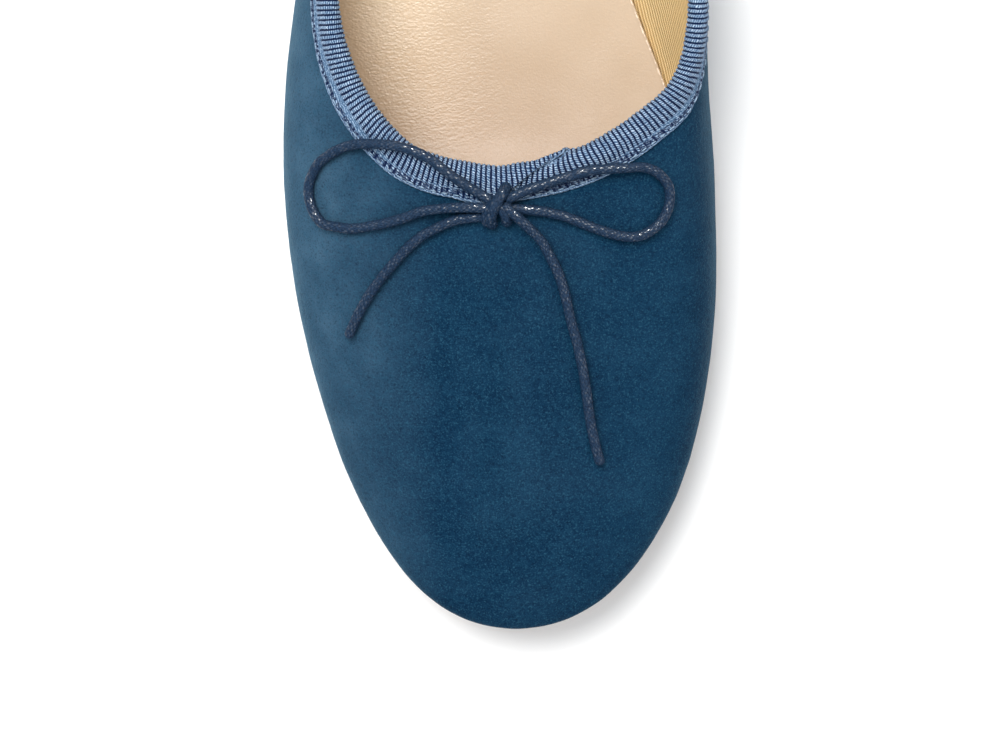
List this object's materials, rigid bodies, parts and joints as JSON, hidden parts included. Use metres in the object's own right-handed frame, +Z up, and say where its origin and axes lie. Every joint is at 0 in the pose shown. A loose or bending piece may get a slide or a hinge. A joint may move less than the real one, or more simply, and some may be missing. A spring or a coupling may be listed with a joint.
{
  "type": "ballet flat shoe",
  "caption": "Women's ballet flat for the right foot: round-toed suede upper, ribbon-bound topline, thin cord bow, thin sole and low stacked heel.",
  "frame": {"origin": "on the floor, at the middle of the shoe's length and width", "axes": "+Z up, toe towards -Y and heel towards +Y, +X towards the big-toe (medial) side"},
  "size_m": [0.0854, 0.25, 0.0531],
  "materials": {
    "suede": "matt suede nap",
    "ribbon": "grosgrain ribs across the ribbon",
    "cord": "waxed round braid",
    "sock": "smooth, fine grain",
    "outsole": "matt leather board",
    "heel": "stacked layers, satin edge",
    "lift": "matt, fine texture",
    "lining": "cotton twill inside the upper"
  },
  "bodies": {
    "root": {"outsole": "outsole", "heel_block": "heel", "heel_top_lift": "lift", "upper": "suede", "topline_binding": "ribbon", "insole": "sock", "bow_knot": "cord", "bow_loop_lateral": "cord", "bow_loop_medial": "cord", "bow_tail_lateral": "cord", "bow_tail_medial": "cord"}
  },
  "joints": []
}
